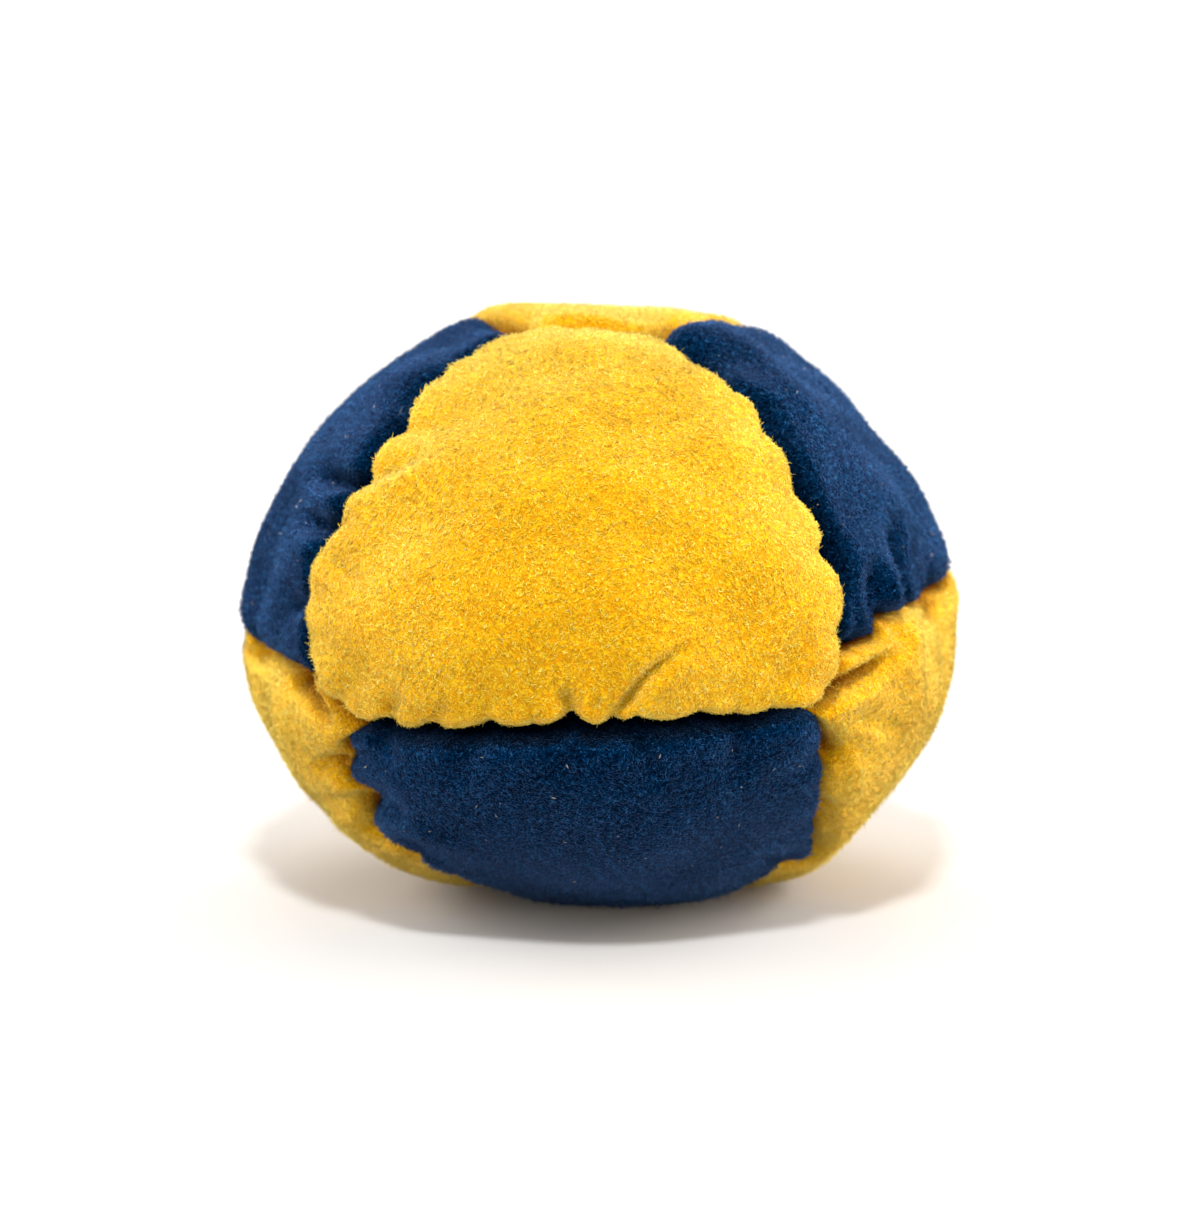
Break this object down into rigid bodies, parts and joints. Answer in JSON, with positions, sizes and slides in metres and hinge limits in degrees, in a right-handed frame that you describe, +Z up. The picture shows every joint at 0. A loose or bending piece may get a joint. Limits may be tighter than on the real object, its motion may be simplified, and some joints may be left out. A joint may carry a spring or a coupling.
{
  "type": "footbag",
  "caption": "Plump stuffed footbag for kicking games, sewn from yellow and navy suede panels with gathered, turned-in seams, and pressed a little flat where it rests.",
  "frame": {"origin": "under the middle of the ball, on the surface that it rests on", "axes": "+Z up, the front panel faces -Y, +X to the right as seen from the front"},
  "size_m": [0.0577, 0.0582, 0.0475],
  "materials": {
    "yellow_suede": "napped synthetic suede, matt",
    "navy_suede": "napped synthetic suede, matt",
    "sewing_thread": "twisted polyester thread",
    "pellets": "smooth plastic pellets"
  },
  "bodies": {
    "root": {"front_panel": "yellow_suede", "top_panel": "yellow_suede", "left_panel": "yellow_suede", "right_panel": "yellow_suede", "upper_left_panel": "navy_suede", "upper_right_panel": "navy_suede", "lower_front_panel": "navy_suede", "back_panel": "navy_suede", "thread_front_to_left": "sewing_thread", "thread_front_to_lower_front": "sewing_thread", "thread_front_to_right": "sewing_thread", "thread_front_to_top": "sewing_thread", "thread_front_to_upper_left": "sewing_thread", "thread_front_to_upper_right": "sewing_thread", "thread_left_to_back": "sewing_thread", "thread_left_to_lower_front": "sewing_thread", "thread_left_to_right": "sewing_thread", "thread_left_to_upper_left": "sewing_thread", "thread_right_to_back": "sewing_thread", "thread_right_to_lower_front": "sewing_thread", "thread_right_to_upper_right": "sewing_thread", "thread_top_to_back": "sewing_thread", "thread_top_to_left": "sewing_thread", "thread_top_to_right": "sewing_thread", "thread_top_to_upper_left": "sewing_thread", "thread_top_to_upper_right": "sewing_thread", "pellet_fill": "pellets"}
  },
  "joints": []
}
